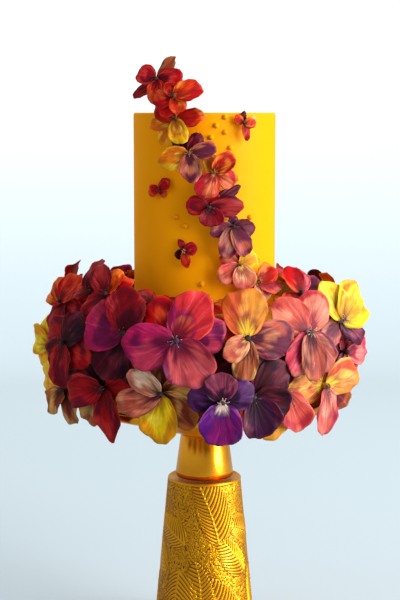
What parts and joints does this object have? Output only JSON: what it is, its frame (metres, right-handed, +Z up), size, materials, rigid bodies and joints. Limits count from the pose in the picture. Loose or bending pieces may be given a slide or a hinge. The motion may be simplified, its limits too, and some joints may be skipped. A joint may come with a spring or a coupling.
{
  "type": "two-tier cake",
  "caption": "Cylindrical two-tier fondant cake with a cascade and a ring of moulded sugar flowers, on a tall conical gold stand with an embossed sleeve.",
  "frame": {"origin": "middle of the flat underside of the stand's foot, on the table", "axes": "+Z up along the cake's axis, -Y towards the front with the cascade of flowers, +X to the right of someone who faces the front"},
  "size_m": [0.3666, 0.3492, 0.6473],
  "materials": {
    "gold": "satin gold lustre, embossed on the sleeve",
    "fondant": "matt golden-yellow sugar fondant",
    "petal_crimson": "satin sugar paste dusted dark crimson",
    "petal_red": "satin sugar paste dusted red",
    "petal_orange": "satin sugar paste dusted orange",
    "petal_yellow": "satin sugar paste dusted yellow",
    "petal_plum": "satin sugar paste dusted dark plum",
    "petal_violet": "satin sugar paste dusted violet",
    "petal_magenta": "satin sugar paste dusted magenta",
    "petal_rose": "satin sugar paste dusted dusty rose",
    "petal_coral": "satin sugar paste dusted coral",
    "petal_peach": "satin sugar paste dusted peach"
  },
  "bodies": {
    "root": {"stand_plate": "gold", "stand_neck": "gold", "stand_sleeve": "gold", "lower_tier": "fondant", "upper_tier": "fondant", "ring_shade": "petal_plum", "ring_dusk_left": "petal_crimson", "ring_dusk_right": "petal_violet", "ring_brown": "petal_peach", "ring_crimson": "petal_crimson", "ring_sunset": "petal_peach", "ring_marigold": "petal_yellow", "ring_night": "petal_plum", "ring_honey": "petal_yellow", "ring_violet": "petal_violet", "ring_red_back": "petal_red", "ring_tip": "petal_crimson", "ring_garnet": "petal_crimson", "ring_flame": "petal_red", "ring_lemon_side": "petal_yellow", "ring_wine": "petal_crimson", "ring_lemon": "petal_yellow", "ring_berry": "petal_magenta", "ring_amber": "petal_orange", "ring_salmon": "petal_rose", "ring_plum": "petal_plum", "ring_magenta": "petal_magenta", "ring_far_1_1": "petal_magenta", "ring_far_1_2": "petal_crimson", "ring_far_1_3": "petal_red", "ring_far_1_4": "petal_orange", "ring_far_1_5": "petal_coral", "ring_far_1_6": "petal_peach", "ring_far_1_7": "petal_plum", "ring_far_2_1": "petal_peach", "ring_far_2_2": "petal_plum", "ring_far_2_3": "petal_yellow", "ring_far_2_4": "petal_violet", "ring_far_2_5": "petal_rose", "ring_far_2_6": "petal_magenta", "ring_far_2_7": "petal_crimson", "crown_front_left": "petal_crimson", "crown_front": "petal_orange", "crown_right": "petal_magenta", "crown_far_right": "petal_yellow", "crown_far": "petal_coral", "crown_far_left": "petal_plum", "crown_left": "petal_orange", "cascade_orange": "petal_orange", "cascade_scarlet": "petal_red", "cascade_crimson": "petal_crimson", "cascade_dusk": "petal_plum", "cascade_red": "petal_red", "cascade_coral": "petal_coral", "cascade_cream": "petal_peach", "cascade_violet": "petal_violet", "cascade_ember": "petal_red", "blossom_crimson": "petal_crimson", "blossom_ring": "petal_red", "blossom_orange": "petal_orange"}
  },
  "joints": []
}
